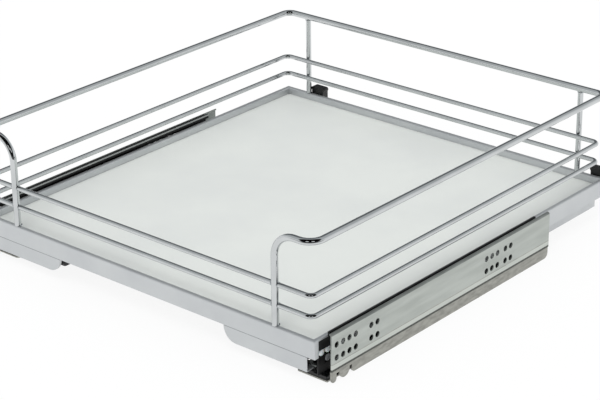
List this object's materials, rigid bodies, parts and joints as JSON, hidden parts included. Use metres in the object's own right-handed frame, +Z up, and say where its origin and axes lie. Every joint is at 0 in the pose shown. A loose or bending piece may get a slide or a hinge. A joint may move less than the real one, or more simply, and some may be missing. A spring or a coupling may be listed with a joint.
{
  "type": "pull out cabinet basket",
  "caption": "Pull-out tray basket for a kitchen cabinet: folded steel frame with a board, chromed wire rail, and full-extension roller runners at both sides.",
  "frame": {"origin": "under the middle of the whole part, at the underside of the runners' feet", "axes": "+X to the right seen from the front, +Y to the back of the cabinet, +Z up; the tray pulls out along -Y"},
  "size_m": [0.468, 0.494, 0.1445],
  "materials": {
    "frame_sheet": "satin",
    "board": "satin",
    "chrome_rail": "polished",
    "chrome_wire": "polished",
    "runner_steel": "galvanised",
    "rail_steel": "galvanised",
    "black_plastic": "matt",
    "lever_plastic": "matt",
    "cage_plastic": "matt",
    "damper_plastic": "matt",
    "roller_nylon": "satin",
    "buffer_rubber": "matt"
  },
  "bodies": {
    "cabinet": {"cabinet_member_left": "runner_steel", "cabinet_rail_left": "rail_steel", "rail_buffer_left": "buffer_rubber", "soft_close_unit_left": "damper_plastic", "front_stop_left": "black_plastic", "cabinet_member_right": "runner_steel", "cabinet_rail_right": "rail_steel", "rail_buffer_right": "buffer_rubber", "soft_close_unit_right": "damper_plastic", "front_stop_right": "black_plastic"},
    "tray": {"front_panel": "frame_sheet", "side_panel_left": "frame_sheet", "side_panel_right": "frame_sheet", "back_panel": "frame_sheet", "base_board": "board", "top_rail": "chrome_rail", "upper_wire": "chrome_wire", "lower_wire": "chrome_wire", "back_post_left": "chrome_rail", "front_bracket_left": "frame_sheet", "rear_clip_left": "black_plastic", "corner_insert_left": "black_plastic", "drawer_rail_left": "rail_steel", "lock_housing_left": "black_plastic", "soft_close_catch_left": "rail_steel", "back_post_right": "chrome_rail", "front_bracket_right": "frame_sheet", "rear_clip_right": "black_plastic", "corner_insert_right": "black_plastic", "drawer_rail_right": "rail_steel", "lock_housing_right": "black_plastic", "soft_close_catch_right": "rail_steel"},
    "middle_left": {"middle_rail_left": "rail_steel", "roller_carrier_left": "black_plastic"},
    "upper_cage_left": {"upper_cage_left": "cage_plastic", "upper_cage_rollers_left": "roller_nylon"},
    "lower_cage_left": {"lower_cage_left": "cage_plastic", "lower_cage_rollers_left": "roller_nylon"},
    "front_roller_left": {"front_roller_left": "roller_nylon"},
    "second_roller_left": {"second_roller_left": "roller_nylon"},
    "guide_roller_left": {"guide_roller_left": "roller_nylon"},
    "release_lever_left": {"release_lever_left": "lever_plastic"},
    "middle_right": {"middle_rail_right": "rail_steel", "roller_carrier_right": "black_plastic"},
    "upper_cage_right": {"upper_cage_right": "cage_plastic", "upper_cage_rollers_right": "roller_nylon"},
    "lower_cage_right": {"lower_cage_right": "cage_plastic", "lower_cage_rollers_right": "roller_nylon"},
    "front_roller_right": {"front_roller_right": "roller_nylon"},
    "second_roller_right": {"second_roller_right": "roller_nylon"},
    "guide_roller_right": {"guide_roller_right": "roller_nylon"},
    "release_lever_right": {"release_lever_right": "lever_plastic"}
  },
  "joints": [
    {"name": "tray_slide", "type": "slide", "parent": "cabinet", "child": "tray", "axis": [0, -1, 0], "range_m": [0, 0.35]},
    {"name": "middle_slide_left", "type": "slide", "parent": "cabinet", "child": "middle_left", "axis": [0, -1, 0], "range_m": [0, 0.175]},
    {"name": "upper_cage_slide_left", "type": "slide", "parent": "cabinet", "child": "upper_cage_left", "axis": [0, -1, 0], "range_m": [0, 0.2625]},
    {"name": "lower_cage_slide_left", "type": "slide", "parent": "cabinet", "child": "lower_cage_left", "axis": [0, -1, 0], "range_m": [0, 0.0875]},
    {"name": "front_roller_spin_left", "type": "hinge", "parent": "middle_left", "child": "front_roller_left", "pos_m": [-0.22, -0.2335, 0.0295], "axis": [1, 0, 0], "continuous": true},
    {"name": "second_roller_spin_left", "type": "hinge", "parent": "middle_left", "child": "second_roller_left", "pos_m": [-0.22, -0.2243, 0.0295], "axis": [1, 0, 0], "continuous": true},
    {"name": "guide_roller_spin_left", "type": "hinge", "parent": "middle_left", "child": "guide_roller_left", "pos_m": [-0.22, -0.2243, 0.0207], "axis": [1, 0, 0], "continuous": true},
    {"name": "release_lever_left_pivot", "type": "hinge", "parent": "tray", "child": "release_lever_left", "pos_m": [-0.1979, -0.2249, 0.0168], "axis": [0, 0, 1], "range_deg": [0, 10], "stiffness_Nm_per_rad": 0.6},
    {"name": "middle_slide_right", "type": "slide", "parent": "cabinet", "child": "middle_right", "axis": [0, -1, 0], "range_m": [0, 0.175]},
    {"name": "upper_cage_slide_right", "type": "slide", "parent": "cabinet", "child": "upper_cage_right", "axis": [0, -1, 0], "range_m": [0, 0.2625]},
    {"name": "lower_cage_slide_right", "type": "slide", "parent": "cabinet", "child": "lower_cage_right", "axis": [0, -1, 0], "range_m": [0, 0.0875]},
    {"name": "front_roller_spin_right", "type": "hinge", "parent": "middle_right", "child": "front_roller_right", "pos_m": [0.22, -0.2335, 0.0295], "axis": [1, 0, 0], "continuous": true},
    {"name": "second_roller_spin_right", "type": "hinge", "parent": "middle_right", "child": "second_roller_right", "pos_m": [0.22, -0.2243, 0.0295], "axis": [1, 0, 0], "continuous": true},
    {"name": "guide_roller_spin_right", "type": "hinge", "parent": "middle_right", "child": "guide_roller_right", "pos_m": [0.22, -0.2243, 0.0207], "axis": [1, 0, 0], "continuous": true},
    {"name": "release_lever_right_pivot", "type": "hinge", "parent": "tray", "child": "release_lever_right", "pos_m": [0.1979, -0.2249, 0.0168], "axis": [0, 0, -1], "range_deg": [0, 10], "stiffness_Nm_per_rad": 0.6}
  ],
  "couplings": [
    {"joint": "middle_slide_left", "follows": "tray_slide", "ratio": 0.5},
    {"joint": "upper_cage_slide_left", "follows": "tray_slide", "ratio": 0.75},
    {"joint": "lower_cage_slide_left", "follows": "tray_slide", "ratio": 0.25},
    {"joint": "front_roller_spin_left", "follows": "tray_slide", "rad_per_m": 135.13},
    {"joint": "second_roller_spin_left", "follows": "tray_slide", "rad_per_m": 135.13},
    {"joint": "guide_roller_spin_left", "follows": "tray_slide", "rad_per_m": -135.13},
    {"joint": "middle_slide_right", "follows": "tray_slide", "ratio": 0.5},
    {"joint": "upper_cage_slide_right", "follows": "tray_slide", "ratio": 0.75},
    {"joint": "lower_cage_slide_right", "follows": "tray_slide", "ratio": 0.25},
    {"joint": "front_roller_spin_right", "follows": "tray_slide", "rad_per_m": 135.13},
    {"joint": "second_roller_spin_right", "follows": "tray_slide", "rad_per_m": 135.13},
    {"joint": "guide_roller_spin_right", "follows": "tray_slide", "rad_per_m": -135.13}
  ]
}
